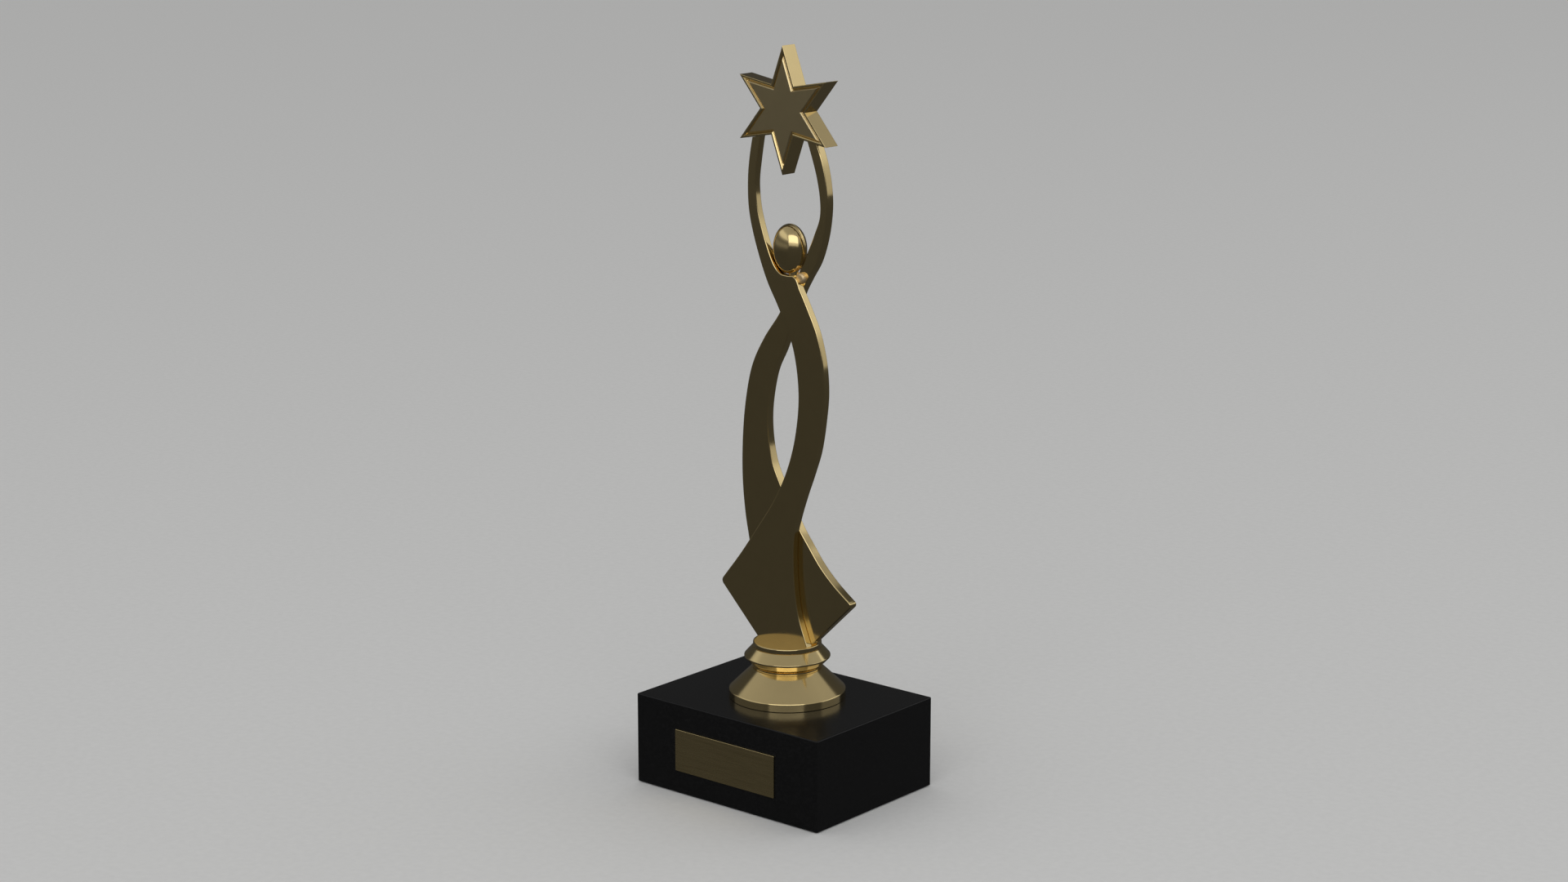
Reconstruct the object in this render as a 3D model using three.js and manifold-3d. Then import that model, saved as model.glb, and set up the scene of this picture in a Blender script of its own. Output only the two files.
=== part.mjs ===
// Star trophy: a black block base, a turned riser, two crossing ribbons that
// form a figure with raised arms, a two-part head and a six-pointed star.
// Millimetres, +Z up. The nameplate side faces -Y.
import * as THREE from 'three';
import { mergeVertices } from 'three/addons/utils/BufferGeometryUtils.js';
import Module from 'manifold-3d';

const wasm = await Module();
wasm.setup();

// ---- driving dimensions ------------------------------------------------

// Base block and what is fixed to it.
const BLOCK_WIDTH = 100;
const BLOCK_DEPTH = 76.9;
const BLOCK_BOTTOM = 0.4;
const BLOCK_TOP = 40;
const BLOCK_EDGE = 0.5;
const FELT_INSET = 3;
const FELT_THICKNESS = 1.2;
const FELT_CLEARANCE = 0.3;
const PLATE_WIDTH = 54.8;
const PLATE_HEIGHT = 18.4;
const PLATE_THICKNESS = 0.5;
const PLATE_CENTRE = { x: -0.2, z: 19.6 };
const ADHESIVE_THICKNESS = 0.2;
const ADHESIVE_INSET = 1.2;

// Turned riser: heights are measured from the top of the block.
const AXIS = { x: 0.6, y: 1.5 };
const FOOT_RADIUS = 25;
const FOOT_BAND = 3.4;
const CONE_TOP = { radius: 15.1, height: 12.9 };
const NECK_RADIUS = 14.4;
const NECK_TOP = 13.8;
const COLLAR_FOOT_RADIUS = 14.5;
const COLLAR_RADIUS = 18.4;
const COLLAR_RIM = { low: 17.7, high: 18.2 };
const COLLAR_TOP = { radius: 14.7, height: 22.2 };
const DISC_RADIUS = 14.65;
const DISC_TOP = 24.4;
const TURNED_EDGE = 0.35;
const TURNED_SIDES = 60;

// Tie rod and its nut in the underside of the block.
const ROD_RADIUS = 2.4;
const ROD_BOTTOM = 5;
const ROD_ABOVE_DISC = 15;
const BORE_RADIUS = 2.8;
const WELL_RADIUS = 9;
const WELL_DEPTH = 13;
const WASHER = { radius: 6.5, thickness: 1.2 };
const SPRING_WASHER = { radius: 4.6, thickness: 1.3 };
const NUT = { acrossFlats: 8, thickness: 4 };

// Ribbons: two flat plates that lie back to back on the plane y = AXIS.y.
const FRONT_THICKNESS = 3.4;
const REAR_THICKNESS = 4.2;
const RIBBON_EDGE = 0.45;
const RIBBON_GAP = 0.04;
const CURVE_STEPS = 3;
const DOWEL = { radius: 1.2, depthFront: 2.3, depthRear: 2.6 };
const DOWEL_PLACES = { upper_dowel: [3.2, 207.5], lower_dowel: [-2.5, 113] };
const PIN_CLEARANCE = 0.3;
const PIN_END_GAP = 0.5;
const PIN_SIDES = 16;
const BORE_SIDES = 24;
const WELL_SIDES = 40;

// How far a cutting tool reaches past the face that it cuts.
const OVERSHOOT = 1;

// Head: an ellipsoid parted on a plane parallel to the ribbons.
const HEAD = { x: 2.05, y: 1.5, z: 233.4 };
const HEAD_RADII = { x: 7.8, y: 6, z: 10.5 };
const HEAD_SIDES = 32;
const HEAD_ROWS = 20;
const HEAD_PEG = { x: 2.3, y: -0.2, radius: 0.8, bottom: 216, top: 228.5 };

// Rivet through the rear ribbon. The seat and the head's rises are along its shank.
const RIVET = { x: 9.2, z: 221.9, radius: 2, rise: 1.8, shank: 0.9, seat: 4.3 };
const RIVET_SHOULDER = { radius: 2, rise: 0.9 };
const RIVET_CROWN = { radius: 1.5, rise: 1.53 };

// Star.
const STAR = { x: 1.2, z: 290.9 };
const STAR_FRONT = -2.6;
const STAR_THICKNESS = 8;
const STAR_RADIUS = 26.6;
const STAR_VALLEY = 0.45;
const STAR_POINTS = 6;
const STAR_EDGE = 0.2;
const STAR_RIM = 0.75;
const STAR_GROOVE = 1.2;
const POCKET_DEPTH = 1.1;
const INLAY_EDGE = 0.3;
const ARM_TOP = 281;
const ARM_GAP = 0.1;
const STAR_PIN = { radius: 0.8, bottom: 271.5, top: 283.2 };
const STAR_PINS = { left_star_pin: [-14.1, -0.2], right_star_pin: [14.3, 3.6] };

// ---- materials ---------------------------------------------------------

const gold = new THREE.MeshStandardMaterial({ color: 0xb89a5a, metalness: 1, roughness: 0.28 });
const black = new THREE.MeshStandardMaterial({ color: 0x0c0c0d, metalness: 0, roughness: 0.3 });
const steel = new THREE.MeshStandardMaterial({ color: 0x9a9da0, metalness: 1, roughness: 0.35 });
const felt = new THREE.MeshStandardMaterial({ color: 0x1c2420, metalness: 0, roughness: 1 });
const tape = new THREE.MeshStandardMaterial({ color: 0xd8d6cf, metalness: 0, roughness: 0.7 });

// ---- solids ------------------------------------------------------------

function toSolid(geometry) {
  const bare = geometry.clone();
  bare.deleteAttribute('normal');
  bare.deleteAttribute('uv');
  const merged = mergeVertices(bare, 1e-5);
  const mesh = new wasm.Mesh({
    numProp: 3,
    vertProperties: new Float32Array(merged.attributes.position.array),
    triVerts: new Uint32Array(merged.index.array),
  });
  return new wasm.Manifold(mesh);
}

function toGeometry(solid) {
  const mesh = solid.getMesh();
  const geometry = new THREE.BufferGeometry();
  geometry.setAttribute('position', new THREE.BufferAttribute(mesh.vertProperties, 3));
  geometry.setIndex(new THREE.BufferAttribute(mesh.triVerts, 1));
  geometry.computeVertexNormals();
  return geometry;
}

function cut(geometry, ...tools) {
  let solid = toSolid(geometry);
  for (const tool of tools) {
    solid = solid.subtract(toSolid(tool));
  }
  return toGeometry(solid);
}

function intersect(geometry, other) {
  return toGeometry(toSolid(geometry).intersect(toSolid(other)));
}

// An upright cylinder between two heights.
function post(radius, bottom, top, x, y, sides = BORE_SIDES) {
  const geometry = new THREE.CylinderGeometry(radius, radius, top - bottom, sides);
  geometry.rotateX(Math.PI / 2);
  geometry.translate(x, y, (top + bottom) / 2);
  return geometry;
}

// A cylinder along Y between two depths.
function pinAlongY(radius, front, back, x, z, sides = PIN_SIDES) {
  const geometry = new THREE.CylinderGeometry(radius, radius, back - front, sides);
  geometry.translate(x, (front + back) / 2, z);
  return geometry;
}

// A turned body from [radius, height above the block] pairs, with a bore.
function turned(profile, boreRadius = BORE_RADIUS) {
  const low = profile[0][1];
  const high = profile[profile.length - 1][1];
  const closed = [[boreRadius, low], ...profile, [boreRadius, high], [boreRadius, low]];
  const points = closed.map(([radius, height]) => new THREE.Vector2(radius, height));
  const geometry = new THREE.LatheGeometry(points, TURNED_SIDES);
  geometry.rotateX(Math.PI / 2);
  geometry.translate(AXIS.x, AXIS.y, BLOCK_TOP);
  return geometry;
}

function boxBetween(low, high) {
  const size = high.map((value, i) => value - low[i]);
  const geometry = new THREE.BoxGeometry(...size);
  geometry.translate(...high.map((value, i) => (value + low[i]) / 2));
  return geometry;
}

// A flat outline drawn in (x, z), pushed from the depth "front" towards +Y.
function plate(shape, front, thickness, edge, curveSegments) {
  const geometry = new THREE.ExtrudeGeometry(shape, {
    depth: thickness - 2 * edge,
    bevelEnabled: edge > 0,
    bevelThickness: edge,
    bevelSize: edge,
    bevelOffset: -edge,
    bevelSegments: 1,
    curveSegments,
  });
  geometry.rotateX(-Math.PI / 2);
  geometry.translate(0, front + edge, 0);
  return geometry;
}

const parts = new THREE.Group();
parts.position.y = (PLATE_THICKNESS + ADHESIVE_THICKNESS) / 2;

function add(name, geometry, material) {
  const mesh = new THREE.Mesh(geometry, material);
  mesh.name = name;
  parts.add(mesh);
}

// ---- base --------------------------------------------------------------

function blockSlab(inset, bottom, top, edge) {
  const halfWidth = BLOCK_WIDTH / 2 - inset;
  const halfDepth = BLOCK_DEPTH / 2 - inset;
  const shape = new THREE.Shape();
  shape.moveTo(-halfWidth, -halfDepth);
  shape.lineTo(halfWidth, -halfDepth);
  shape.lineTo(halfWidth, halfDepth);
  shape.lineTo(-halfWidth, halfDepth);
  shape.closePath();
  const geometry = new THREE.ExtrudeGeometry(shape, {
    depth: top - bottom - 2 * edge,
    bevelEnabled: edge > 0,
    bevelThickness: edge,
    bevelSize: edge,
    bevelOffset: -edge,
    bevelSegments: 1,
  });
  geometry.translate(0, 0, bottom + edge);
  return geometry;
}

function addBase() {
  const well = post(WELL_RADIUS, BLOCK_BOTTOM - OVERSHOOT, WELL_DEPTH, AXIS.x, AXIS.y, WELL_SIDES);
  const bore = post(BORE_RADIUS, WELL_DEPTH - OVERSHOOT, BLOCK_TOP + OVERSHOOT, AXIS.x, AXIS.y);
  const recess = blockSlab(FELT_INSET - FELT_CLEARANCE, BLOCK_BOTTOM - OVERSHOOT, FELT_THICKNESS, 0);
  const block = blockSlab(0, BLOCK_BOTTOM, BLOCK_TOP, BLOCK_EDGE);
  add('base_block', cut(block, recess, well, bore), black);
  add('felt_pad', blockSlab(FELT_INSET, 0, FELT_THICKNESS, 0), felt);
}

function plaqueSlab(inset, front, back) {
  const halfWidth = PLATE_WIDTH / 2 - inset;
  const halfHeight = PLATE_HEIGHT / 2 - inset;
  const { x, z } = PLATE_CENTRE;
  return boxBetween([x - halfWidth, front, z - halfHeight], [x + halfWidth, back, z + halfHeight]);
}

function addNameplate() {
  const face = -BLOCK_DEPTH / 2;
  const seat = face - ADHESIVE_THICKNESS;
  add('nameplate_adhesive', plaqueSlab(ADHESIVE_INSET, seat, face), tape);
  add('nameplate', plaqueSlab(0, seat - PLATE_THICKNESS, seat), gold);
}

// ---- riser -------------------------------------------------------------

function addRiser() {
  const edge = TURNED_EDGE;
  const cone = CONE_TOP;
  add('riser_foot', turned([
    [FOOT_RADIUS, 0],
    [FOOT_RADIUS, FOOT_BAND - edge],
    [FOOT_RADIUS - edge, FOOT_BAND],
    [cone.radius, cone.height - edge],
    [cone.radius - edge, cone.height],
  ]), gold);
  add('riser_neck', turned([[NECK_RADIUS, cone.height], [NECK_RADIUS, NECK_TOP]]), gold);
  const top = COLLAR_TOP;
  add('riser_collar', turned([
    [COLLAR_FOOT_RADIUS, NECK_TOP],
    [COLLAR_RADIUS, COLLAR_RIM.low],
    [COLLAR_RADIUS, COLLAR_RIM.high],
    [top.radius, top.height],
  ]), gold);
  add('figure_disc', turned([
    [DISC_RADIUS, top.height],
    [DISC_RADIUS, DISC_TOP - edge],
    [DISC_RADIUS - edge, DISC_TOP],
  ]), gold);
}

function ring(outer, inner, bottom, top) {
  return cut(
    post(outer, bottom, top, AXIS.x, AXIS.y, WELL_SIDES),
    post(inner, bottom - OVERSHOOT, top + OVERSHOOT, AXIS.x, AXIS.y),
  );
}

function addTieRod() {
  const rodTop = BLOCK_TOP + DISC_TOP + ROD_ABOVE_DISC;
  add('tie_rod', post(ROD_RADIUS, ROD_BOTTOM, rodTop, AXIS.x, AXIS.y), steel);
  const washerBottom = WELL_DEPTH - WASHER.thickness;
  const springBottom = washerBottom - SPRING_WASHER.thickness;
  const nutBottom = springBottom - NUT.thickness;
  add('washer', ring(WASHER.radius, BORE_RADIUS, washerBottom, WELL_DEPTH), steel);
  add('spring_washer', ring(SPRING_WASHER.radius, BORE_RADIUS, springBottom, washerBottom), steel);
  const corner = NUT.acrossFlats / Math.sqrt(3);
  const hexagon = post(corner, nutBottom, springBottom, AXIS.x, AXIS.y, 6);
  const threadBottom = nutBottom - OVERSHOOT;
  const thread = post(BORE_RADIUS, threadBottom, springBottom + OVERSHOOT, AXIS.x, AXIS.y);
  add('hex_nut', cut(hexagon, thread), steel);
}

// ---- ribbons -----------------------------------------------------------

const at = ([x, z]) => new THREE.Vector2(x, z);

// The shapes are drawn in (x, -z), because plate() turns them upright.
function outline(start, ...runs) {
  const shape = new THREE.Shape();
  shape.moveTo(start[0], -start[1]);
  for (const run of runs) {
    const points = run.map(([x, z]) => at([x, -z]));
    if (points.length === 1) {
      shape.lineTo(points[0].x, points[0].y);
    } else {
      shape.splineThru(points);
    }
  }
  return shape;
}

const STAND = BLOCK_TOP + DISC_TOP;

function frontRibbonShape() {
  const footLeft = [-13.4, STAND];
  const toe = [[-32.8, 83.9]];
  const toeTip = [[-33.8, 85.2], [-33.5, 86.8], [-32.4, 88], [-30.2, 90.2]];
  const outerEdge = [
    [-22.4, 99.9], [-13.2, 112.6], [-4.2, 125.6], [3, 140],
    [7.6, 156], [9.2, 174], [6.2, 192.5], [-1, 207.5], [-8.2, 220],
    [-14.2, 235], [-17.6, 248], [-18.2, 260], [-17.3, 270], [-15.2, ARM_TOP],
  ];
  const innerEdge = [
    [-12.7, 270], [-13.9, 260], [-13, 250], [-10.3, 240.6], [-6.9, 232],
    [-3.9, 226.3], [-0.7, 223.3], [2.8, 222.7], [6, 222.9],
  ];
  const shoulder = [[8, 221.6], [9.6, 218.2]];
  const rightEdge = [
    [14.2, 210], [19.1, 200], [22.4, 188], [23.5, 176], [22.6, 165],
    [20.2, 151], [16.5, 140], [12.6, 130], [9, 119.5], [6.9, 111],
    [6.6, 100], [7.4, 88], [9.6, 76.5], [14.3, STAND],
  ];
  return outline(
    footLeft, toe, toeTip, outerEdge,
    [[-10.8, ARM_TOP]], innerEdge, shoulder, rightEdge,
  );
}

function rearRibbonShape() {
  const footLeft = [-12.6, STAND];
  const leftEdge = [
    [-15.6, 76], [-18.2, 90], [-20.6, 104], [-23.2, 118], [-24.6, 134],
    [-24.2, 152], [-22.3, 168], [-18.8, 182], [-12.4, 194], [-4.6, 204.6],
    [1.2, 214.5], [6.9, 224.4], [11.3, 233], [14.8, 240.6], [17.6, 248],
    [17.6, 256], [15.6, 265.5], [12, 276], [9.9, ARM_TOP],
  ];
  const rightEdge = [
    [19.2, 270], [21.3, 260], [21.7, 251], [20.1, 240], [16.6, 229.5],
    [11.8, 221.7], [8, 215], [4, 205], [-1.6, 191], [-7, 180],
    [-10, 166], [-10.2, 154], [-8, 142], [-3.6, 132.5], [1.4, 124],
    [6.3, 115.4], [12.4, 107.4], [18.6, 99.8], [26, 93], [34, 87.2],
  ];
  return outline(
    footLeft, leftEdge, [[14.9, ARM_TOP]], rightEdge,
    [[34.9, 86.3], [34.8, 84.9]], [[13.7, STAND]],
  );
}

function addRibbons() {
  const plane = AXIS.y;
  const front = plane - FRONT_THICKNESS;
  const slotTop = STAND + ROD_ABOVE_DISC + OVERSHOOT;
  const rodSlot = post(BORE_RADIUS, STAND - OVERSHOOT, slotTop, AXIS.x, AXIS.y);
  const pegHole = post(HEAD_PEG.radius + PIN_CLEARANCE, HEAD_PEG.bottom, HEAD_PEG.top,
    HEAD_PEG.x, HEAD_PEG.y, PIN_SIDES);
  const dowelHoles = Object.values(DOWEL_PLACES).map(([x, z]) => pinAlongY(
    DOWEL.radius + PIN_CLEARANCE, plane - DOWEL.depthFront, plane + DOWEL.depthRear, x, z));
  const starHoles = Object.values(STAR_PINS).map(([x, y]) => post(
    STAR_PIN.radius + PIN_CLEARANCE, STAR_PIN.bottom, STAR_PIN.top, x, y, PIN_SIDES));
  const rivetHole = pinAlongY(RIVET.shank + PIN_CLEARANCE, plane - OVERSHOOT,
    plane + REAR_THICKNESS + OVERSHOOT, RIVET.x, RIVET.z);
  const rivetSeat = pinAlongY(RIVET.radius + PIN_CLEARANCE, front - OVERSHOOT,
    plane + OVERSHOOT, RIVET.x, RIVET.z);
  const starSeat = plate(starShape(-ARM_GAP), STAR_FRONT - OVERSHOOT,
    STAR_THICKNESS + 2 * OVERSHOOT, 0, 1);
  const thickFront = FRONT_THICKNESS - RIBBON_GAP;
  const frontBlank = plate(frontRibbonShape(), front, thickFront, RIBBON_EDGE, CURVE_STEPS);
  const rearBlank = plate(rearRibbonShape(), plane, REAR_THICKNESS, RIBBON_EDGE, CURVE_STEPS);
  add('front_ribbon',
    cut(frontBlank, starSeat, rodSlot, pegHole, rivetSeat, ...dowelHoles, starHoles[0]), gold);
  add('rear_ribbon',
    cut(rearBlank, starSeat, rodSlot, rivetHole, ...dowelHoles, starHoles[1]), gold);
  for (const [name, [x, z]] of Object.entries(DOWEL_PLACES)) {
    const frontEnd = plane - DOWEL.depthFront + PIN_CLEARANCE;
    const rearEnd = plane + DOWEL.depthRear - PIN_CLEARANCE;
    add(name, pinAlongY(DOWEL.radius, frontEnd, rearEnd, x, z), steel);
  }
}

// ---- head --------------------------------------------------------------

function addHead() {
  const ball = new THREE.SphereGeometry(1, HEAD_SIDES, HEAD_ROWS);
  ball.rotateX(Math.PI / 2);
  ball.scale(HEAD_RADII.x, HEAD_RADII.y, HEAD_RADII.z);
  ball.translate(HEAD.x, HEAD.y, HEAD.z);
  const reach = 2 * HEAD_RADII.z;
  const low = [HEAD.x - reach, HEAD.y - reach, HEAD.z - reach];
  const high = [HEAD.x + reach, HEAD.y + reach, HEAD.z + reach];
  const frontHalf = boxBetween(low, [high[0], HEAD.y - RIBBON_GAP, high[2]]);
  const rearHalf = boxBetween([low[0], HEAD.y, low[2]], high);
  const pegHole = post(HEAD_PEG.radius + PIN_CLEARANCE, HEAD_PEG.bottom, HEAD_PEG.top + PIN_END_GAP,
    HEAD_PEG.x, HEAD_PEG.y, PIN_SIDES);
  add('head_front_shell', cut(intersect(ball, frontHalf), pegHole), gold);
  add('head_rear_shell', intersect(ball, rearHalf), gold);
  add('head_peg', post(HEAD_PEG.radius, HEAD_PEG.bottom + PIN_CLEARANCE, HEAD_PEG.top,
    HEAD_PEG.x, HEAD_PEG.y, PIN_SIDES), steel);
}

// A round-headed rivet through the rear ribbon, with its head on the front side.
function addRivet() {
  const { radius, rise, shank, seat } = RIVET;
  const profile = [
    [0, 0],
    [shank, 0],
    [shank, seat],
    [radius, seat],
    [RIVET_SHOULDER.radius, seat + RIVET_SHOULDER.rise],
    [RIVET_CROWN.radius, seat + RIVET_CROWN.rise],
    [0, seat + rise],
  ];
  const points = profile.map(([r, along]) => new THREE.Vector2(r, along));
  const geometry = new THREE.LatheGeometry(points, PIN_SIDES);
  geometry.rotateX(Math.PI);
  geometry.translate(RIVET.x, AXIS.y + REAR_THICKNESS, RIVET.z);
  add('shoulder_rivet', geometry, gold);
}

// ---- star --------------------------------------------------------------

// A regular star in (x, -z), drawn with its straight edges moved in by "inset".
function starShape(inset) {
  const step = Math.PI / STAR_POINTS;
  const valley = STAR_RADIUS * STAR_VALLEY;
  const tip = new THREE.Vector2(STAR_RADIUS, 0);
  const dip = new THREE.Vector2(valley * Math.cos(step), valley * Math.sin(step));
  const edgeToCentre = Math.abs(tip.cross(dip)) / tip.distanceTo(dip);
  const scale = (edgeToCentre - inset) / edgeToCentre;
  const shape = new THREE.Shape();
  for (let i = 0; i < 2 * STAR_POINTS; i += 1) {
    const radius = scale * (i % 2 === 0 ? STAR_RADIUS : valley);
    const angle = Math.PI / 2 + i * step;
    const x = STAR.x + radius * Math.cos(angle);
    const z = STAR.z + radius * Math.sin(angle);
    if (i === 0) {
      shape.moveTo(x, -z);
    } else {
      shape.lineTo(x, -z);
    }
  }
  return shape;
}

function addStar() {
  const body = plate(starShape(0), STAR_FRONT, STAR_THICKNESS, STAR_EDGE, 1);
  const pocketInset = STAR_EDGE + STAR_RIM;
  const pocketReach = POCKET_DEPTH + OVERSHOOT;
  const pocket = plate(starShape(pocketInset), STAR_FRONT - OVERSHOOT, pocketReach, 0, 1);
  const holes = Object.values(STAR_PINS).map(([x, y]) => post(
    STAR_PIN.radius + PIN_CLEARANCE, STAR_PIN.bottom, STAR_PIN.top + PIN_END_GAP, x, y, PIN_SIDES));
  add('star_body', cut(body, pocket, ...holes), gold);
  const inlay = starShape(pocketInset + STAR_GROOVE);
  add('star_inlay', plate(inlay, STAR_FRONT, POCKET_DEPTH, INLAY_EDGE, 1), gold);
  for (const [name, [x, y]] of Object.entries(STAR_PINS)) {
    const bottom = STAR_PIN.bottom + PIN_CLEARANCE;
    add(name, post(STAR_PIN.radius, bottom, STAR_PIN.top, x, y, PIN_SIDES), steel);
  }
}

addBase();
addNameplate();
addRiser();
addTieRod();
addRibbons();
addHead();
addRivet();
addStar();

export default parts;
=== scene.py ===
import math

import bmesh
import bpy
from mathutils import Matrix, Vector


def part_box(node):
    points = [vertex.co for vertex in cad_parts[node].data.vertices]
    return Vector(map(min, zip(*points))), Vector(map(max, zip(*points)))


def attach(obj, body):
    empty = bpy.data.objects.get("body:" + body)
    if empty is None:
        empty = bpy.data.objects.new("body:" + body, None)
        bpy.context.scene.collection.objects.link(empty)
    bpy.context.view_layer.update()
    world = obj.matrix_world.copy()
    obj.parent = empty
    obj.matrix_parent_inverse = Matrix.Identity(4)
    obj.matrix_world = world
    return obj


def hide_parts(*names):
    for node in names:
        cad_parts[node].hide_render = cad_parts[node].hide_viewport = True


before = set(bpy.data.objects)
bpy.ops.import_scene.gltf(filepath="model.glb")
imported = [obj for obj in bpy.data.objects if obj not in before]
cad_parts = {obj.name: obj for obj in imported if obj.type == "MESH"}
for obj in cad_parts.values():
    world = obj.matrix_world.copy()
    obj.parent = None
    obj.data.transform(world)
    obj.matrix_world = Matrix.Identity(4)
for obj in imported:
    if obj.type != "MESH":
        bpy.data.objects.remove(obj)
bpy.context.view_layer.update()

MM = 0.001

# The dimensions of the pieces are in millimetres from the block's centre.
BLOCK_LOW, BLOCK_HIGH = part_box("base_block")
CENTRE_Y = (BLOCK_LOW.y + BLOCK_HIGH.y) / 2 / MM
BLOCK_TOP = BLOCK_HIGH.z / MM
BLOCK_BOTTOM = BLOCK_LOW.z / MM
AXIS_X, AXIS_Y = 0.6, 1.5
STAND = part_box("figure_disc")[1].z / MM

# ---------------------------------------------------------------- base

BLOCK_EDGE = 0.45
BLOCK_CORNER = 0.6
RECESS_INSET = 2.7
RECESS_TOP = 1.2
RECESS_LIP = 0.1
PLAQUE_CORNER = 0.35
PLAQUE_EDGE = 0.15
FELT_CORNER = 1.0
FELT_EDGE = 0.4

# ---------------------------------------------------------------- riser

# Outsides as (radius, height above the block, rounding).
FOOT_PROFILE = [(25.0, 0.0, 0.25), (25.0, 3.4, 0.9), (15.1, 12.9, 0.45)]
NECK_RING_PROFILE = [(14.4, 12.9, 0.05), (14.4, 13.8, 0.05)]
COLLAR_PROFILE = [(14.5, 13.8, 0.05), (18.4, 17.7, 0.35), (18.4, 18.3, 0.35), (14.9, 22.2, 0.4)]
DISC_PROFILE = [(14.65, 22.2, 0.15), (14.65, 24.4, 0.5)]
BORE_RADIUS = 2.8
BORE_EDGE = 0.1

# ---------------------------------------------------------------- ribbons

FRONT_RIBBON_Y = (-1.9, 1.46)
REAR_RIBBON_Y = (1.5, 5.7)
RIBBON_EDGE = 0.45
SAMPLES_PER_SPAN = 10
# Keeps an inset corner from running far away where two edges fold back sharply.
SMALLEST_FOLD = 0.35

# Edges as (x, z) points on smooth curves, thinned from a tracing.
FRONT_FOOT_START_X = -13.4
FRONT_FOOT_CORNER = (-34.03, 85.45)
FRONT_FOOT_ROUND = 2.2
FRONT_LEFT_EDGE = [
    (-30.2, 90.2), (-22.4, 99.9), (-13.2, 112.6), (-4.2, 125.6), (3.0, 140.0), (7.6, 156.0),
    (9.2, 174.0), (6.2, 192.5), (-1.0, 207.5), (-8.2, 220.0), (-14.2, 235.0), (-17.6, 248.0),
    (-18.2, 260.0), (-17.3, 270.0), (-15.2, 281.0),
]
FRONT_INNER_EDGE = [
    (-10.8, 281.0), (-12.7, 270.0), (-13.9, 260.0), (-13.0, 250.0), (-10.3, 240.6), (-6.9, 232.0),
    (-3.9, 226.3), (-0.7, 223.3), (2.8, 222.7), (6.0, 222.9),
]
FRONT_SHOULDER = [(6.0, 222.9), (8.0, 221.6), (9.6, 218.2)]
FRONT_RIGHT_EDGE = [
    (9.6, 218.2), (14.2, 210.0), (19.1, 200.0), (22.4, 188.0), (23.5, 176.0), (22.6, 165.0),
    (20.2, 151.0), (16.5, 140.0), (12.6, 130.0), (9.0, 119.5), (6.9, 111.0), (6.6, 100.0),
    (7.4, 88.0), (9.6, 76.5), (14.3, 64.4),
]
REAR_LEFT_EDGE = [
    (-12.6, 64.4), (-15.6, 76.0), (-18.2, 90.0), (-20.6, 104.0), (-23.2, 118.0), (-24.6, 134.0),
    (-24.2, 152.0), (-22.3, 168.0), (-18.8, 182.0), (-12.4, 194.0), (-4.6, 204.6), (1.2, 214.5),
    (6.9, 224.4), (11.3, 233.0), (14.8, 240.6), (17.6, 248.0), (17.6, 256.0), (15.6, 265.5),
    (12.0, 276.0), (9.9, 281.0),
]
REAR_RIGHT_EDGE = [
    (14.9, 281.0), (19.2, 270.0), (21.3, 260.0), (21.7, 251.0), (20.1, 240.0), (16.6, 229.5),
    (11.8, 221.7), (8.0, 215.0), (4.0, 205.0), (-1.6, 191.0), (-7.0, 180.0), (-10.0, 166.0),
    (-10.2, 154.0), (-8.0, 142.0), (-3.6, 132.5), (1.4, 124.0), (6.3, 115.4), (12.4, 107.4),
    (18.6, 99.8), (26.0, 93.0), (34.0, 87.2),
]
REAR_FOOT = [(34.0, 87.2), (34.9, 86.3), (34.8, 84.9)]
REAR_FOOT_END_X = 13.7

# ---------------------------------------------------------------- star, head and neck

STAR_CENTRE = (1.2, 290.9)
STAR_RADIUS = 26.6
STAR_VALLEY = 0.45
STAR_Y = (-2.6, 5.4)
STAR_EDGE = 0.2
STAR_RIM = 0.75
STAR_FIELD = 2.1
STAR_GROOVE_DEPTH = 1.1
STAR_GROOVE_LIP = 0.42
STAR_GROOVE_FOOT = 0.42
STAR_GROOVE_ROUND = 0.04
STAR_TIP_ROUND = 0.05
STAR_FIELD_LIFT = 0.01
ARM_GAP = 0.1

NECK_CENTRE = (4.4, 1.1)
NECK_RADII = (2.8, 1.5)
# (z, share of the neck's radii)
NECK_RINGS = [(216.5, 0.5), (221.4, 0.9), (223.2, 0.92), (224.0, 0.84), (225.2, 0.84), (228.4, 0.9)]

KNOB_CENTRE = (8.6, 221.9)
KNOB_RADIUS = 2.35
KNOB_ROUND = 1.2
KNOB_CROWN = 0.15
KNOB_TIP_RADIUS = 0.02
KNOB_Y = (-0.6, 1.5)

HEAD_CENTRE = (2.05, 1.5, 233.4)
HEAD_RADII = (7.8, 6.0, 10.5)
HEAD_SEAM_Y = 1.5
HEAD_SEAM_GAP = 0.04
HEAD_SEAM_ROUND = 0.05

# Edges that turn by more than this many degrees stay sharp in the shading.
SHARP_ANGLE = 28

GOLD = (0.80, 0.63, 0.31)
FIELD_GOLD = (0.80, 0.65, 0.36)
KNOB_GOLD = (1.0, 0.78, 0.46)

# ---------------------------------------------------------------- light, camera and floor

# These are in metres and degrees.
FLOOR_RADIUS = 9.0
CAMERA_AZIMUTH = 40.07
CAMERA_ELEVATION = 13.36
CAMERA_DISTANCE = 1.2875
CAMERA_LENS = 70.48
LOOK_AT = Vector((0.0, 0.00035, 0.1517))
LIGHT_CENTRE = Vector((0.0, 0.0, 0.2))
LIGHT_DISTANCE = 3.0

# (name, azimuth from the camera, elevation, size, radiance)
SOFTBOXES = [
    ("key_softbox", -2, 31, (3.9, 1.55), 0.90),
    ("key_spill", -2, 11.5, (3.9, 0.47), 0.36),
    ("right_softbox", 98, 15, (2.9, 1.7), 0.31),
]


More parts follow.
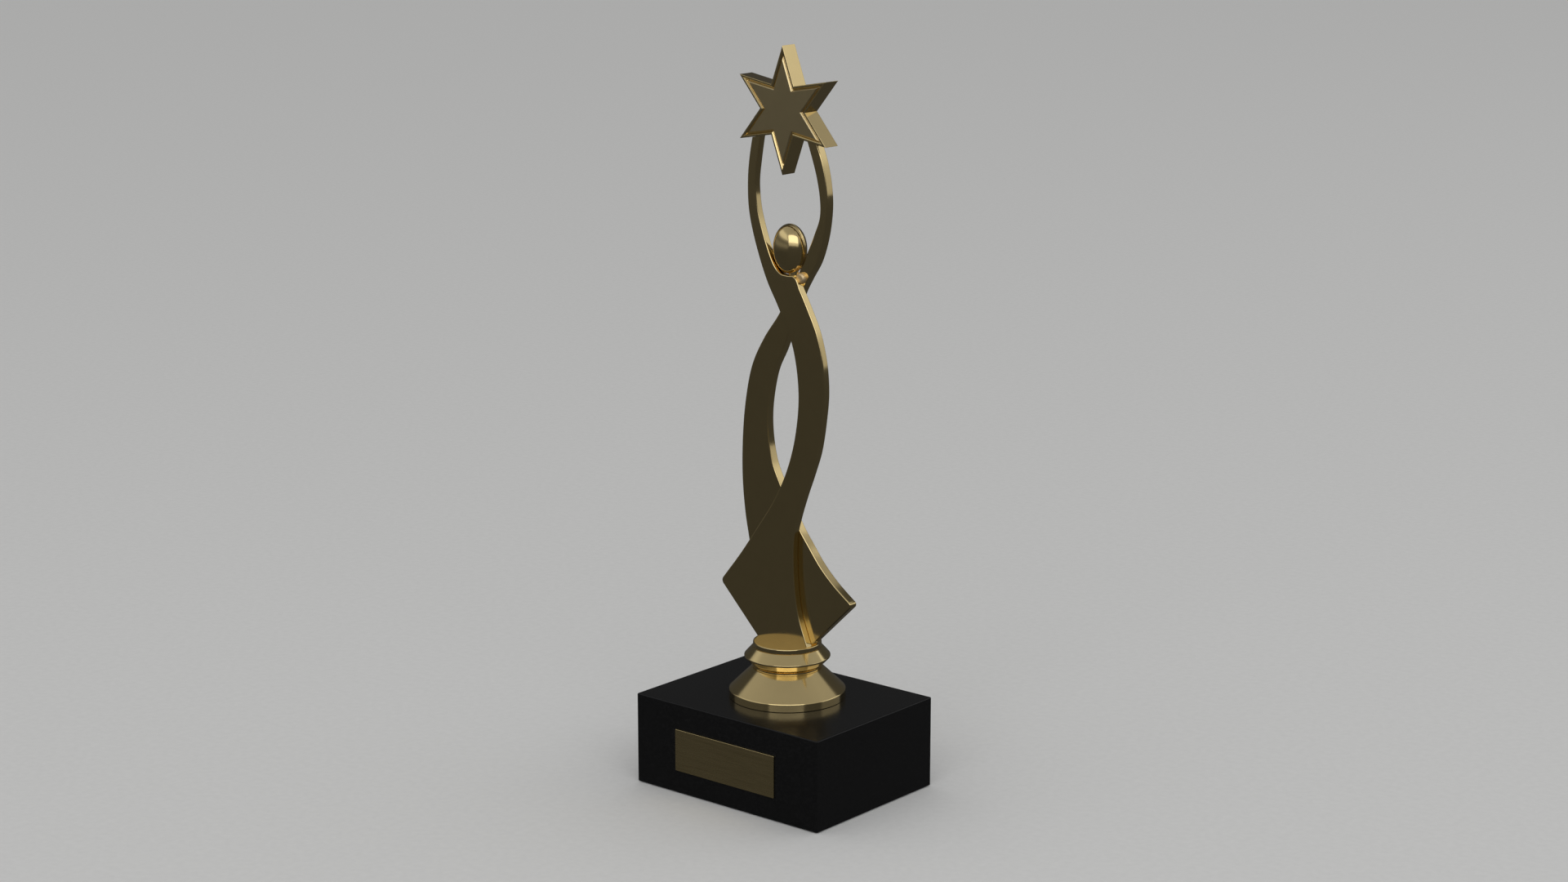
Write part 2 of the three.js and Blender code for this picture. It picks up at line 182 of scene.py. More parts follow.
def direction(azimuth, elevation):
    """Unit vector from the object; azimuth 0 is the front and 90 is +X."""
    a, e = math.radians(azimuth), math.radians(elevation)
    return Vector((math.sin(a) * math.cos(e), -math.cos(a) * math.cos(e), math.sin(e)))


def make_camera():
    data = bpy.data.cameras.new("camera")
    data.sensor_width = 36.0
    data.lens = CAMERA_LENS
    data.clip_start = 0.01
    data.clip_end = 50.0
    camera = bpy.data.objects.new("camera", data)
    back = direction(CAMERA_AZIMUTH, CAMERA_ELEVATION)
    camera.location = LOOK_AT + back * CAMERA_DISTANCE
    camera.rotation_mode = "QUATERNION"
    camera.rotation_quaternion = (-back).to_track_quat("-Z", "Y")
    bpy.context.collection.objects.link(camera)
    bpy.context.scene.camera = camera


def softbox(name, azimuth, elevation, size, radiance):
    """A rectangular softbox facing the object. A mirror adds its radiance to the room's."""
    data = bpy.data.lights.new(name, "AREA")
    data.shape = "RECTANGLE"
    data.size, data.size_y = size
    data.energy = 4.0 * size[0] * size[1] * radiance
    light = bpy.data.objects.new(name, data)
    back = direction(azimuth, elevation)
    light.location = LIGHT_CENTRE + back * LIGHT_DISTANCE
    light.rotation_mode = "QUATERNION"
    light.rotation_quaternion = (-back).to_track_quat("-Z", "Y")
    bpy.context.collection.objects.link(light)


def make_lights():
    for name, azimuth, elevation, size, radiance in SOFTBOXES:
        softbox(name, CAMERA_AZIMUTH + azimuth, elevation, size, radiance)


# ---------------------------------------------------------------- shader helpers

def shader_node(tree, kind, **values):
    node = tree.nodes.new(kind)
    for name, value in values.items():
        setattr(node, name, value)
    return node


def link(tree, source, target):
    tree.links.new(source, target)


def ramp(tree, source, stops):
    """A colour ramp with (position, grey or colour) stops."""
    node = tree.nodes.new("ShaderNodeValToRGB")
    elements = node.color_ramp.elements
    while len(elements) > 2:
        elements.remove(elements[-1])
    for index, (place, value) in enumerate(stops):
        element = elements[index] if index < 2 else elements.new(place)
        element.position = place
        colour = value if isinstance(value, tuple) else (value, value, value)
        element.color = (*colour, 1.0)
    link(tree, source, node.inputs["Fac"])
    return node.outputs["Color"]


# What the gold mirrors, as (half of 1 + sine of the elevation, radiance).
SKY_STOPS = [
    (0.0, 0.045), (0.50, 0.052), (0.505, 0.062), (0.545, 0.07), (0.57, 0.09), (0.604, 0.13),
    (0.629, 0.24), (0.671, 0.35), (0.86, 0.36), (1.0, 0.31),
]
# The same pairs for the lit wall at the left.
GLOW_STOPS = [
    (0.0, 0.045), (0.40, 0.046), (0.44, 0.062), (0.47, 0.09), (0.50, 0.17), (0.54, 0.18),
    (0.58, 0.12), (0.6125, 0.13), (0.647, 0.24), (0.685, 0.68), (0.775, 0.72), (0.84, 0.38),
    (1.0, 0.31),
]
GLOW_AZIMUTH = -84
GLOW_EDGE = (0.62, 0.80)
BACKDROP_RADIANCE = 0.055
BACKDROP_ELEVATION = 15
BACKDROP_EDGE = (0.60, 0.68)
PALE_SURROUNDINGS = 0.50


def make_world():
    """What the room gives. Mirror rays see a dark floor and backdrop, a lit wall at the left
    and a lighter ceiling. All the other rays see even, pale surroundings."""
    world = bpy.data.worlds.new("studio")
    world.use_nodes = True
    tree = world.node_tree
    tree.nodes.clear()
    place = shader_node(tree, "ShaderNodeTexCoord")
    split = shader_node(tree, "ShaderNodeSeparateXYZ")
    link(tree, place.outputs["Generated"], split.inputs[0])
    height = shader_node(tree, "ShaderNodeMath", operation="MULTIPLY_ADD")
    height.inputs[1].default_value = 0.5
    height.inputs[2].default_value = 0.5
    link(tree, split.outputs["Z"], height.inputs[0])
    sky = ramp(tree, height.outputs[0], SKY_STOPS)
    glow = background(tree, ramp(tree, height.outputs[0], GLOW_STOPS))
    lit_left = soft_spot(tree, place, direction(CAMERA_AZIMUTH + GLOW_AZIMUTH, 0), GLOW_EDGE)
    room = mixed(tree, lit_left, background(tree, sky), glow)
    backdrop = background(tree, (BACKDROP_RADIANCE,) * 3)
    away = direction(CAMERA_AZIMUTH + 180, BACKDROP_ELEVATION)
    behind = soft_spot(tree, place, away, BACKDROP_EDGE)
    mirrored = mixed(tree, behind, room, backdrop)
    pale = background(tree, (PALE_SURROUNDINGS,) * 3)
    path = shader_node(tree, "ShaderNodeLightPath")
    given = mixed(tree, path.outputs["Is Glossy Ray"], pale, mirrored)
    output = shader_node(tree, "ShaderNodeOutputWorld")
    link(tree, given, output.inputs["Surface"])
    bpy.context.scene.world = world


def soft_spot(tree, place, centre, edge):
    """1 around the centre direction, falling to 0 between the two cosines of edge."""
    toward = shader_node(tree, "ShaderNodeVectorMath", operation="DOT_PRODUCT")
    link(tree, place.outputs["Generated"], toward.inputs[0])
    toward.inputs[1].default_value = centre
    share = shader_node(tree, "ShaderNodeMapRange", interpolation_type="SMOOTHSTEP")
    share.inputs["From Min"].default_value = edge[0]
    share.inputs["From Max"].default_value = edge[1]
    link(tree, toward.outputs["Value"], share.inputs["Value"])
    return share.outputs["Result"]


def background(tree, colour):
    node = shader_node(tree, "ShaderNodeBackground")
    if isinstance(colour, tuple):
        node.inputs["Color"].default_value = (*colour, 1.0)
    else:
        link(tree, colour, node.inputs["Color"])
    return node.outputs[0]


def mixed(tree, share, first, second):
    node = shader_node(tree, "ShaderNodeMixShader")
    link(tree, share, node.inputs[0])
    link(tree, first, node.inputs[1])
    link(tree, second, node.inputs[2])
    return node.outputs[0]


# ---------------------------------------------------------------- materials

def start_material(name):
    material = bpy.data.materials.new(name)
    material.use_nodes = True
    tree = material.node_tree
    shader = tree.nodes["Principled BSDF"]
    place = shader_node(tree, "ShaderNodeTexCoord")
    return material, tree, shader, place.outputs["Object"]


def noise(tree, place, scale, detail=3.0, stretch=None, distortion=0.0):
    """Noise with features about 1/scale metres across; stretch scales the place first."""
    if stretch is not None:
        mapping = shader_node(tree, "ShaderNodeMapping")
        mapping.inputs["Scale"].default_value = stretch
        link(tree, place, mapping.inputs["Vector"])
        place = mapping.outputs["Vector"]
    node = shader_node(tree, "ShaderNodeTexNoise")
    node.inputs["Scale"].default_value = scale
    node.inputs["Detail"].default_value = detail
    node.inputs["Distortion"].default_value = distortion
    link(tree, place, node.inputs["Vector"])
    return node.outputs["Fac"]


def bump(tree, height, strength, distance, under=None):
    node = shader_node(tree, "ShaderNodeBump")
    node.inputs["Strength"].default_value = strength
    node.inputs["Distance"].default_value = distance
    link(tree, height, node.inputs["Height"])
    if under is not None:
        link(tree, under, node.inputs["Normal"])
    return node.outputs["Normal"]


def gold_material(name, roughness, colour, wave):
    """Gold plate over a casting: soft waves of that height in metres, haze and fine grain."""
    material, tree, shader, place = start_material(name)
    shader.inputs["Metallic"].default_value = 1.0
    low = tuple(c * 0.97 for c in colour)
    patches = noise(tree, place, 140.0, 4.0)
    link(tree, ramp(tree, patches, [(0.35, low), (0.65, colour)]), shader.inputs["Base Color"])
    haze = noise(tree, place, 420.0, 5.0)
    span = [(0.3, roughness * 0.93), (0.7, roughness * 1.07)]
    link(tree, ramp(tree, haze, span), shader.inputs["Roughness"])
    casting = bump(tree, noise(tree, place, 55.0, 2.0), 1.0, wave)
    grain = bump(tree, noise(tree, place, 2600.0, 2.0), 0.10, 0.00002, casting)
    link(tree, grain, shader.inputs["Normal"])
    return material


def plaque_material():
    """Satin gold sheet, brushed along its length."""
    material, tree, shader, place = start_material("plaque_gold_brushed")
    shader.inputs["Metallic"].default_value = 1.0
    shader.inputs["Anisotropic"].default_value = 0.35
    lines = noise(tree, place, 60.0, 6.0, (1.0, 1.0, 90.0))
    low, high = (0.70, 0.55, 0.27), (0.80, 0.64, 0.33)
    link(tree, ramp(tree, lines, [(0.3, low), (0.7, high)]), shader.inputs["Base Color"])
    link(tree, ramp(tree, lines, [(0.3, 0.20), (0.7, 0.30)]), shader.inputs["Roughness"])
    link(tree, bump(tree, lines, 0.12, 0.00004), shader.inputs["Normal"])
    return material


def lacquer_material():
    """Black satin lacquer on wood: faint orange peel, a ghost of grain and some dust."""
    material, tree, shader, place = start_material("base_black_lacquer")
    dust = noise(tree, place, 900.0, 4.0)
    tint = [(0.45, (0.0054, 0.0054, 0.0055)), (0.8, (0.0100, 0.0100, 0.0103))]
    link(tree, ramp(tree, dust, tint), shader.inputs["Base Color"])
    haze = noise(tree, place, 70.0, 5.0)
    link(tree, ramp(tree, haze, [(0.3, 0.17), (0.7, 0.23)]), shader.inputs["Roughness"])
    shader.inputs["Specular IOR Level"].default_value = 0.32
    grain = bump(tree, noise(tree, place, 45.0, 6.0, (1.0, 14.0, 14.0)), 0.10, 0.00006)
    peel = bump(tree, noise(tree, place, 330.0, 1.0), 0.12, 0.00004, grain)
    link(tree, peel, shader.inputs["Normal"])
    return material


def steel_material():
    """Bright zinc plate with its mottled grain."""
    material, tree, shader, place = start_material("zinc_steel")
    shader.inputs["Metallic"].default_value = 1.0
    spangle = noise(tree, place, 700.0, 4.0)
    low, high = (0.50, 0.51, 0.52), (0.66, 0.67, 0.68)
    link(tree, ramp(tree, spangle, [(0.3, low), (0.7, high)]), shader.inputs["Base Color"])
    link(tree, ramp(tree, spangle, [(0.3, 0.28), (0.7, 0.42)]), shader.inputs["Roughness"])
    link(tree, bump(tree, spangle, 0.25, 0.00003), shader.inputs["Normal"])
    return material


def felt_material():
    """Black felt: matted fibres that run every way."""
    material, tree, shader, place = start_material("black_felt")
    fibres = noise(tree, place, 1500.0, 6.0, (1.0, 0.35, 1.0), 2.0)
    low, high = (0.006, 0.006, 0.007), (0.030, 0.030, 0.032)
    link(tree, ramp(tree, fibres, [(0.35, low), (0.7, high)]), shader.inputs["Base Color"])
    shader.inputs["Roughness"].default_value = 0.95
    shader.inputs["Sheen Weight"].default_value = 0.4
    link(tree, bump(tree, fibres, 0.8, 0.0002), shader.inputs["Normal"])
    return material


def tape_material():
    """Grey foam mounting tape."""
    material, tree, shader, place = start_material("foam_tape")
    cells = noise(tree, place, 2200.0, 3.0)
    low, high = (0.55, 0.55, 0.54), (0.72, 0.72, 0.70)
    link(tree, ramp(tree, cells, [(0.3, low), (0.7, high)]), shader.inputs["Base Color"])
    shader.inputs["Roughness"].default_value = 0.8
    link(tree, bump(tree, cells, 0.5, 0.00005), shader.inputs["Normal"])
    return material


def floor_material():
    """Pale matt studio paper with a trace of tooth."""
    material, tree, shader, place = start_material("studio_paper")
    tooth = noise(tree, place, 300.0, 4.0)
    low, high = (0.78, 0.78, 0.77), (0.81, 0.81, 0.80)
    link(tree, ramp(tree, tooth, [(0.3, low), (0.7, high)]), shader.inputs["Base Color"])
    shader.inputs["Roughness"].default_value = 0.9
    shader.inputs["Specular IOR Level"].default_value = 0.2
    return material


# ---------------------------------------------------------------- mesh helpers

def finish_piece(mesh_data, name, material, node):
    """Makes the piece an object that rides on the root and stands for its CAD node."""
    piece = bpy.data.objects.new(name, mesh_data)
    bpy.context.collection.objects.link(piece)
    mesh_data.materials.append(material)
    mesh_data.shade_smooth()
    mesh_data.set_sharp_from_angle(angle=math.radians(SHARP_ANGLE))
    modifier = piece.modifiers.new("flat_faces", "WEIGHTED_NORMAL")
    modifier.mode = "FACE_AREA"
    modifier.weight = 100
    modifier.keep_sharp = True
    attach(piece, "root")
    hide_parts(node)
    return piece


def mesh_from_rings(name, rings, closed=False):
    """Joins rings of the same number of points; the ends are capped unless it closes on itself."""
    mesh = bmesh.new()
    rows = [[mesh.verts.new(point) for point in ring] for ring in rings]
    pairs = list(zip(rows, rows[1:]))
    if closed:
        pairs.append((rows[-1], rows[0]))
    for lower, upper in pairs:
        count = len(lower)
        for i in range(count):
            j = (i + 1) % count
            mesh.faces.new((lower[i], lower[j], upper[j], upper[i]))
    if not closed:
        mesh.faces.new(rows[0])
        mesh.faces.new(rows[-1])
    bmesh.ops.recalc_face_normals(mesh, faces=mesh.faces)
    data = bpy.data.meshes.new(name)
    mesh.to_mesh(data)
    mesh.free()
    return data


def world_point(x, y, z):
    """A point from block-centred millimetres to the row frame in metres."""
    return Vector((x * MM, (y + CENTRE_Y) * MM, z * MM))


def round_corner(before, here, after, radius, steps):
    """Points on an arc of that radius in place of the corner at here."""
    if radius <= 0:
        return [Vector(here)]
    here = Vector(here)
    back = (Vector(before) - here).normalized()
    ahead = (Vector(after) - here).normalized()
    half = back.angle(ahead) / 2
    start = here + back * radius / math.tan(half)
    end = here + ahead * radius / math.tan(half)
    centre = here + (back + ahead).normalized() * radius / math.sin(half)
    arc = []
    for step in range(steps + 1):
        spoke = (start - centre).lerp(end - centre, step / steps).normalized()
        arc.append(centre + spoke * radius)
    return arc


def rounded(corners, steps=5):
    """A closed loop of (a, b, radius) corners, with each corner rounded by its radius."""
    loop = []
    count = len(corners)
    for i, (a, b, radius) in enumerate(corners):
        before, after = corners[i - 1][:2], corners[(i + 1) % count][:2]
        loop += round_corner(before, (a, b), after, radius, steps)
    return loop


def rounded_path(corners, radius, steps=3):
    """An open path whose inner corners are rounded; its two end points are left out."""
    path = []
    for before, here, after in zip(corners, corners[1:], corners[2:]):
        path += round_corner(before, here, after, radius, steps)
    return path


def turned(name, corners, sides=192, steps=5):
    """A turned ring about the riser's axis, from a closed loop of (radius, z, rounding) corners."""
    rings = []
    for radius, height in rounded(corners, steps):
        ring = []
        for side in range(sides):
            turn = 2 * math.pi * side / sides
            x = AXIS_X + radius * math.cos(turn)
            y = AXIS_Y + radius * math.sin(turn)
            ring.append(world_point(x, y, height))
        rings.append(ring)
    return mesh_from_rings(name, rings, closed=True)


def spline(points, per_span=SAMPLES_PER_SPAN):
    """Points on the uniform Catmull-Rom curve through the given ones."""
    found = []
    last = len(points) - 1
    for i in range(last):
        p0 = Vector(points[max(i - 1, 0)])
        p1 = Vector(points[i])
        p2 = Vector(points[i + 1])
        p3 = Vector(points[min(i + 2, last)])
        v0 = (p2 - p0) * 0.5
        v1 = (p3 - p1) * 0.5
        for step in range(per_span):
            t = step / per_span
            found.append(
                (2 * p1 - 2 * p2 + v0 + v1) * t ** 3
                + (-3 * p1 + 3 * p2 - 2 * v0 - v1) * t ** 2
                + v0 * t
                + p1
            )
    found.append(Vector(points[-1]))
    return found


def without_repeats(points):
    kept = []
    for point in points:
        if not kept or (point - kept[-1]).length > 1e-4:
            kept.append(point)
    if (kept[0] - kept[-1]).length < 1e-4:
        kept.pop()
    return kept


def clipped(points, on_line, inward):
    """The part of a closed outline on the inward side of a line."""
    kept = []
    count = len(points)
    for i in range(count):
        here, after = points[i], points[(i + 1) % count]
        a = (here - on_line).dot(inward)
        b = (after - on_line).dot(inward)
        if a >= 0:
            kept.append(here)
        if (a >= 0) != (b >= 0):
            kept.append(here.lerp(after, a / (a - b)))
    return kept


def turn_sense(points):
    """Plus one for a counter-clockwise outline, minus one for a clockwise one."""
    area = 0.0
    for here, after in zip(points, points[1:] + points[:1]):
        area += here.x * after.y - after.x * here.y
    return 1.0 if area > 0 else -1.0


def on_line(points, line):
    """True where both points are on a line given by a point and a normal."""
    place, normal = line
    return all(abs((point - place).dot(normal)) < 0.005 for point in points)


def inset_directions(points, butts=()):
    """For each point, the way and length to move for an inset of 1.

    An edge on a butt line stays on its line: it rests against another part.
    """
    sense = turn_sense(points)
    ways = []
    count = len(points)
    for i in range(count):
        before, here, after = points[i - 1], points[i], points[(i + 1) % count]
        d0, d1 = (here - before).normalized(), (after - here).normalized()
        n0, n1 = Vector((-d0.y, d0.x)) * sense, Vector((-d1.y, d1.x)) * sense
        butt0 = any(on_line((before, here), line) for line in butts)
        butt1 = any(on_line((here, after), line) for line in butts)
        if butt0 and butt1:
            ways.append(Vector((0.0, 0.0)))
        elif butt0:
            ways.append(d0 / d0.dot(n1))
        elif butt1:
            ways.append(d1 / d1.dot(n0))
        else:
            ways.append((n0 + n1) / max(1.0 + n0.dot(n1), SMALLEST_FOLD))
    return ways


def edge_profile(low, high, radius, steps=6):
    """(inset, place) pairs over a plate's edge, rounded at both faces."""
    path = [(radius + 1.0, low), (0.0, low), (0.0, high), (radius + 1.0, high)]
    return rounded_path(path, radius, steps)


def upright_plate(name, outline, profile, butts=()):
    """A plate that stands in the x z plane; profile gives (inset, y) from back to front."""
    ways = inset_directions(outline, butts)
    rings = []
    for inset, y in profile:
        ring = [world_point(p.x + w.x * inset, y, p.y + w.y * inset) for p, w in zip(outline, ways)]
        rings.append(ring)
    return mesh_from_rings(name, rings)


def flat_slab(name, width, depth, corner, profile):
    """A slab round the block's centre; profile gives (inset, z) from bottom to top."""
    half_x, half_y = width / 2, depth / 2
    corners = [
        (-half_x, -half_y, corner), (half_x, -half_y, corner),
        (half_x, half_y, corner), (-half_x, half_y, corner),
    ]
    outline = rounded(corners, 4)
    ways = inset_directions(outline)
    rings = []
    for inset, z in profile:
        ring = [world_point(p.x + w.x * inset, p.y + w.y * inset, z) for p, w in zip(outline, ways)]
        rings.append(ring)
    return mesh_from_rings(name, rings)


# ---------------------------------------------------------------- the base

def make_block(material):
    width = (BLOCK_HIGH.x - BLOCK_LOW.x) / MM
    depth = (BLOCK_HIGH.y - BLOCK_LOW.y) / MM
    outer = edge_profile(BLOCK_BOTTOM, BLOCK_TOP, BLOCK_EDGE)
    recess = [
        (RECESS_INSET, RECESS_TOP), (RECESS_INSET, BLOCK_BOTTOM + RECESS_LIP),
        (RECESS_INSET - RECESS_LIP, BLOCK_BOTTOM),
    ]
    data = flat_slab("block", width, depth, BLOCK_CORNER, recess + outer)
    finish_piece(data, "block", material, "base_block")


def make_nameplate(material):
    low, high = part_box("nameplate")
    left, right = low.x / MM, high.x / MM
    bottom, top = low.z / MM, high.z / MM
    corners = [
        (left, bottom, PLAQUE_CORNER), (right, bottom, PLAQUE_CORNER),
        (right, top, PLAQUE_CORNER), (left, top, PLAQUE_CORNER),
    ]
    profile = edge_profile(high.y / MM - CENTRE_Y, low.y / MM - CENTRE_Y, PLAQUE_EDGE)
    data = upright_plate("plaque", rounded(corners, 4), profile)
    finish_piece(data, "plaque", material, "nameplate")


def make_felt(material):
    low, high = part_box("felt_pad")
    width, depth = (high.x - low.x) / MM, (high.y - low.y) / MM
    profile = edge_profile(low.z / MM, high.z / MM, FELT_EDGE)
    data = flat_slab("felt", width, depth, FELT_CORNER, profile)
    piece = finish_piece(data, "felt", material, "felt_pad")


# ---------------------------------------------------------------- the riser

def riser_piece(name, node, corners, material):
    low = corners[0][1]
    high = corners[-1][1]
    loop = [(BORE_RADIUS, low, BORE_EDGE)] + corners + [(BORE_RADIUS, high, BORE_EDGE)]
    loop = [(radius, BLOCK_TOP + height, edge) for radius, height, edge in loop]
    finish_piece(turned(name, loop), name, material, node)


def make_riser(material):
    riser_piece("foot_cone", "riser_foot", FOOT_PROFILE, material)
    riser_piece("neck_ring", "riser_neck", NECK_RING_PROFILE, material)
    riser_piece("collar_cone", "riser_collar", COLLAR_PROFILE, material)
    riser_piece("standing_disc", "figure_disc", DISC_PROFILE, material)


# ---------------------------------------------------------------- the figure

def star_corner(step):
    """Corner step of the star's twelve, about the star's centre."""
    radius = STAR_RADIUS if step % 2 == 0 else STAR_RADIUS * STAR_VALLEY
    turn = math.pi / 2 + math.pi / 6 * step
    return Vector((radius * math.cos(turn), radius * math.sin(turn)))


def star_edge_distance():
    """How far every edge line of the star is from its centre."""
    tip, valley = star_corner(0), star_corner(1)
    return abs(tip.x * valley.y - tip.y * valley.x) / (tip - valley).length


def star_point(corner):
    return Vector((STAR_CENTRE[0] + corner.x, STAR_CENTRE[1] + corner.y))


def star_edge_line(tip_step, valley_step):
    """A point and the outward normal of the line just clear of a star edge."""
    tip, valley = star_corner(tip_step), star_corner(valley_step)
    along = (valley - tip).normalized()
    outward = Vector((along.y, -along.x))
    if outward.dot(tip) < 0:
        outward = -outward
    return star_point(tip) + outward * ARM_GAP, outward


def front_outline(arm_line):
    start = (FRONT_FOOT_START_X, STAND)
    points = [Vector(start)]
    points += round_corner(start, FRONT_FOOT_CORNER, FRONT_LEFT_EDGE[0], FRONT_FOOT_ROUND, 10)
    points += spline(FRONT_LEFT_EDGE)
    points += spline(FRONT_INNER_EDGE)
    points += spline(FRONT_SHOULDER)
    points += spline(FRONT_RIGHT_EDGE)
    return without_repeats(clipped(points, *arm_line))


def rear_outline(arm_line):
    points = spline(REAR_LEFT_EDGE)
    points += spline(REAR_RIGHT_EDGE)
    points += spline(REAR_FOOT)
    points += [Vector((REAR_FOOT_END_X, STAND))]
    return without_repeats(clipped(points, *arm_line))


def make_ribbons(material):
    foot_line = (Vector((0.0, STAND)), Vector((0.0, 1.0)))
    arm_line = star_edge_line(4, 5)
    front = edge_profile(FRONT_RIBBON_Y[1], FRONT_RIBBON_Y[0], RIBBON_EDGE)
    outline = front_outline(arm_line)
    data = upright_plate("front_plate", outline, front, (foot_line, arm_line))
    finish_piece(data, "front_plate", material, "front_ribbon")
    arm_line = star_edge_line(8, 7)
    rear = edge_profile(REAR_RIBBON_Y[1], REAR_RIBBON_Y[0], RIBBON_EDGE)
    outline = rear_outline(arm_line)
    data = upright_plate("rear_plate", outline, rear, (foot_line, arm_line))
    finish_piece(data, "rear_plate", material, "rear_ribbon")


def head_shell(name, start, end, edge):
    """Part of the head between two shares of its depth, with a small round at the seam."""
    rows, sides = 48, 128
    rings = []
    first, last = math.acos(-start), math.acos(-end)
    for row in range(rows + 1):
        turn = first + (last - first) * row / rows
        depth, size = -math.cos(turn), math.sin(turn)
        rings.append((depth, max(size, 1e-3)))
    if start <= -1.0:
        depth, size = rings[-1]
        rings += round_over(depth, size, edge, 1.0)
    else:
        depth, size = rings[0]
        rings = list(reversed(round_over(depth, size, edge, -1.0))) + rings
    made = []
    for depth, size in rings:
        ring = []
        for side in range(sides):
            turn = 2 * math.pi * side / sides
            x = HEAD_CENTRE[0] + HEAD_RADII[0] * size * math.cos(turn)
            z = HEAD_CENTRE[2] + HEAD_RADII[2] * size * math.sin(turn)
            ring.append(world_point(x, HEAD_CENTRE[1] + HEAD_RADII[1] * depth, z))
        made.append(ring)
    return mesh_from_rings(name, made)


def round_over(depth, size, edge, way):
    """Rings that turn the shell's rim over towards the seam."""
    found = []
    for step in range(1, 5):
        a = math.pi / 2 * step / 4
        found.append((depth + way * edge * math.sin(a), size - edge * (1 - math.cos(a))))
    return found


def make_head(material):
    seam = (HEAD_SEAM_Y - HEAD_CENTRE[1]) / HEAD_RADII[1]
    half_gap = HEAD_SEAM_GAP / 2 / HEAD_RADII[1]
    edge = HEAD_SEAM_ROUND
    front = head_shell("face_shell", -1.0, seam - half_gap - edge, edge)
    finish_piece(front, "face_shell", material, "head_front_shell")
    rear = head_shell("back_shell", seam + half_gap + edge, 1.0, edge)
    finish_piece(rear, "back_shell", material, "head_rear_shell")


def make_neck(material):
    """A short oval neck that joins the head to the shoulder."""
    rings = []
    for z, share in NECK_RINGS:
        ring = []
        for side in range(48):
            turn = 2 * math.pi * side / 48
            x = NECK_CENTRE[0] + NECK_RADII[0] * share * math.cos(turn)
            y = NECK_CENTRE[1] + NECK_RADII[1] * share * math.sin(turn)
            ring.append(world_point(x, y, z))
        rings.append(ring)
    finish_piece(mesh_from_rings("neck", rings), "neck", material, "head_peg")


def star_ring(inset, y):
    scale = 1.0 - inset / star_edge_distance()
    ring = []
    for point in star_outline():
        x, z = STAR_CENTRE[0] + point.x * scale, STAR_CENTRE[1] + point.y * scale
        ring.append(world_point(x, y, z))
    return ring


def star_outline():
    corners = []
    for step in range(12):
        corner = star_corner(step)
        corners.append((corner.x, corner.y, STAR_TIP_ROUND if step % 2 == 0 else 0.0))
    return rounded(corners, 3)


def make_star(body_material, field_material):
    """A frame with a rim, and a flush field inside it with a groove all round."""
    front, back = STAR_Y
    floor = front + STAR_GROOVE_DEPTH
    lip, foot = STAR_GROOVE_LIP, STAR_GROOVE_FOOT
    path = [
        (STAR_RIM - STAR_EDGE, front), (STAR_RIM, front), (STAR_RIM + lip, front + lip),
        (STAR_RIM + lip, floor - foot), (STAR_RIM + lip + foot, floor), (STAR_FIELD, floor),
    ]
    profile = edge_profile(back, front, STAR_EDGE) + rounded_path(path, STAR_GROOVE_ROUND)
    data = mesh_from_rings("star_frame", [star_ring(inset, y) for inset, y in profile])
    finish_piece(data, "star_frame", body_material, "star_body")
    path = [
        (STAR_FIELD, floor + STAR_FIELD_LIFT), (STAR_FIELD - lip - foot, floor),
        (STAR_FIELD - lip, floor - foot), (STAR_FIELD - lip, front + lip),
        (STAR_FIELD, front), (STAR_FIELD + 1.0, front),
    ]
    profile = rounded_path(path, STAR_GROOVE_ROUND)
    data = mesh_from_rings("star_field", [star_ring(inset, y) for inset, y in profile])
    finish_piece(data, "star_field", field_material, "star_inlay")


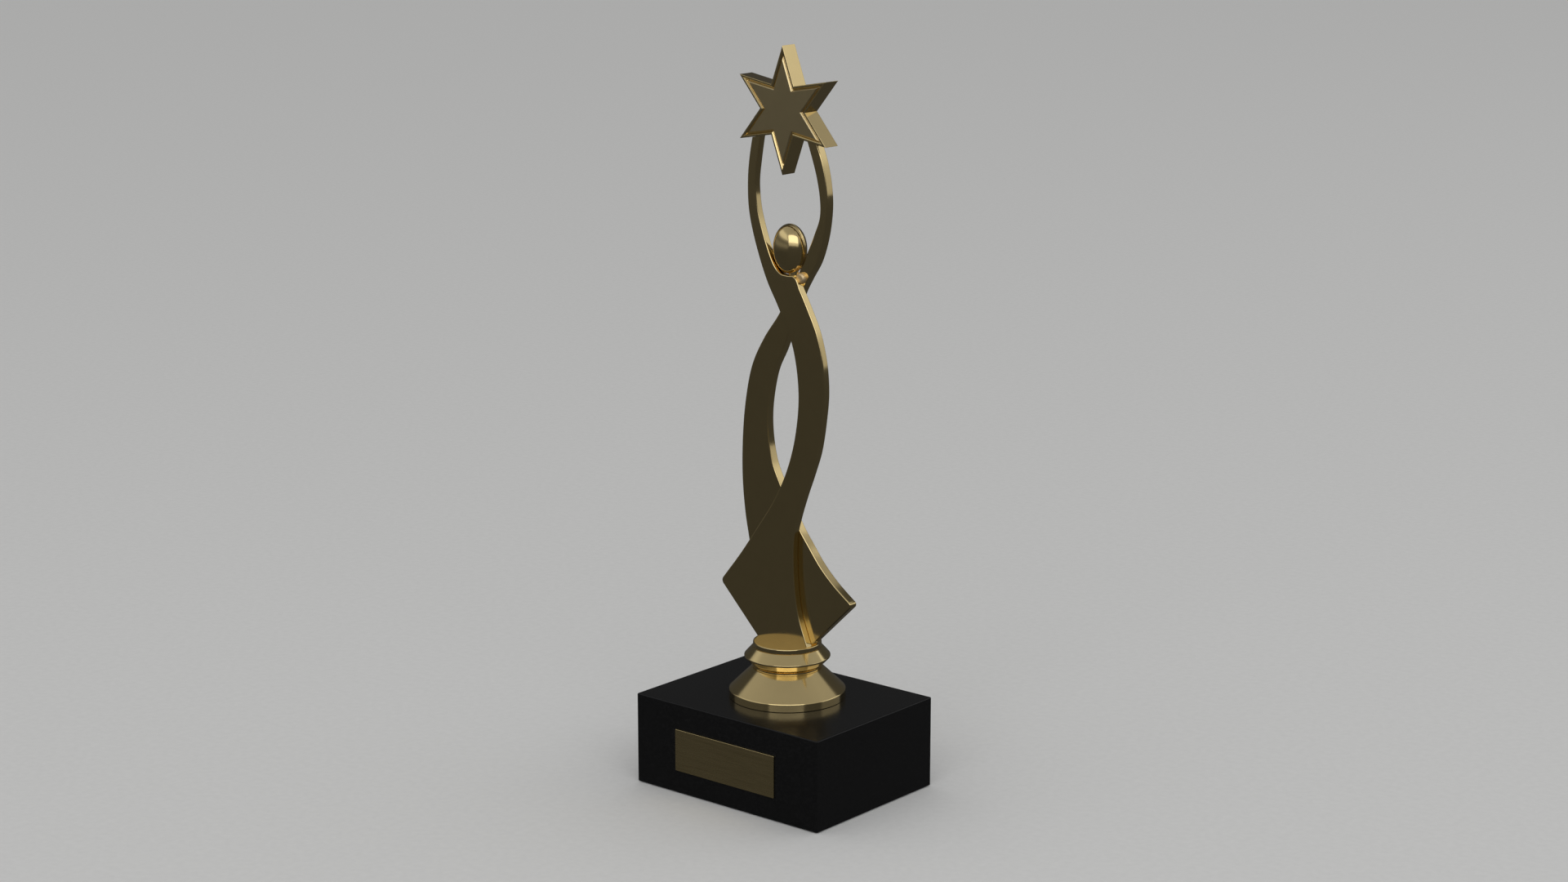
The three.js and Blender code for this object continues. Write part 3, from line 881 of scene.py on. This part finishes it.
def make_knob(material):
    """The rounded button at the shoulder, against the rear ribbon's face."""
    x, z = KNOB_CENTRE
    front, back = KNOB_Y
    tip = (KNOB_TIP_RADIUS, front)
    corner = (KNOB_RADIUS, front + KNOB_CROWN)
    rim = (KNOB_RADIUS, back)
    profile = [Vector(tip)]
    profile += round_corner(tip, corner, rim, KNOB_ROUND, 8)
    profile += [Vector(rim), Vector((KNOB_TIP_RADIUS, back))]
    rings = []
    for radius, y in profile:
        ring = []
        for side in range(64):
            turn = 2 * math.pi * side / 64
            ring.append(world_point(x + radius * math.cos(turn), y, z + radius * math.sin(turn)))
        rings.append(ring)
    finish_piece(mesh_from_rings("knob", rings), "knob", material, "shoulder_rivet")


# ---------------------------------------------------------------- floor and finish

def make_floor():
    """A wide sheet of paper. It lights the object but isn't mirrored in it."""
    sides = 128
    ring = []
    for side in range(sides):
        turn = 2 * math.pi * side / sides
        ring.append(Vector((math.cos(turn), math.sin(turn), 0.0)) * FLOOR_RADIUS)
    mesh = bmesh.new()
    mesh.faces.new([mesh.verts.new(point) for point in ring])
    data = bpy.data.meshes.new("floor")
    mesh.to_mesh(data)
    mesh.free()
    floor = bpy.data.objects.new("floor", data)
    bpy.context.collection.objects.link(floor)
    data.materials.append(floor_material())
    floor.visible_glossy = False


def dress(names, material):
    """Gives carried-over CAD nodes their material."""
    for name in names:
        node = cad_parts[name]
        node.data.materials.clear()
        node.data.materials.append(material)


def main():
    bpy.context.scene.view_settings.view_transform = "Standard"
    make_camera()
    make_lights()
    make_world()
    make_floor()
    plate_gold = gold_material("gold_plates", 0.12, GOLD, 0.000003)
    riser_gold = gold_material("gold_riser", 0.12, GOLD, 0.000003)
    head_gold = gold_material("gold_head", 0.13, GOLD, 0.000002)
    field_gold = gold_material("gold_field", 0.30, FIELD_GOLD, 0.000004)
    satin_gold = gold_material("gold_knob", 0.55, KNOB_GOLD, 0.000002)
    steel = steel_material()
    make_block(lacquer_material())
    make_nameplate(plaque_material())
    make_felt(felt_material())
    make_riser(riser_gold)
    make_ribbons(plate_gold)
    make_head(head_gold)
    make_star(plate_gold, field_gold)
    make_knob(satin_gold)
    make_neck(riser_gold)
    dress(["nameplate_adhesive"], tape_material())
    dress(["tie_rod", "washer", "spring_washer", "hex_nut"], steel)
    dress(["upper_dowel", "lower_dowel", "left_star_pin", "right_star_pin"], steel)


main()
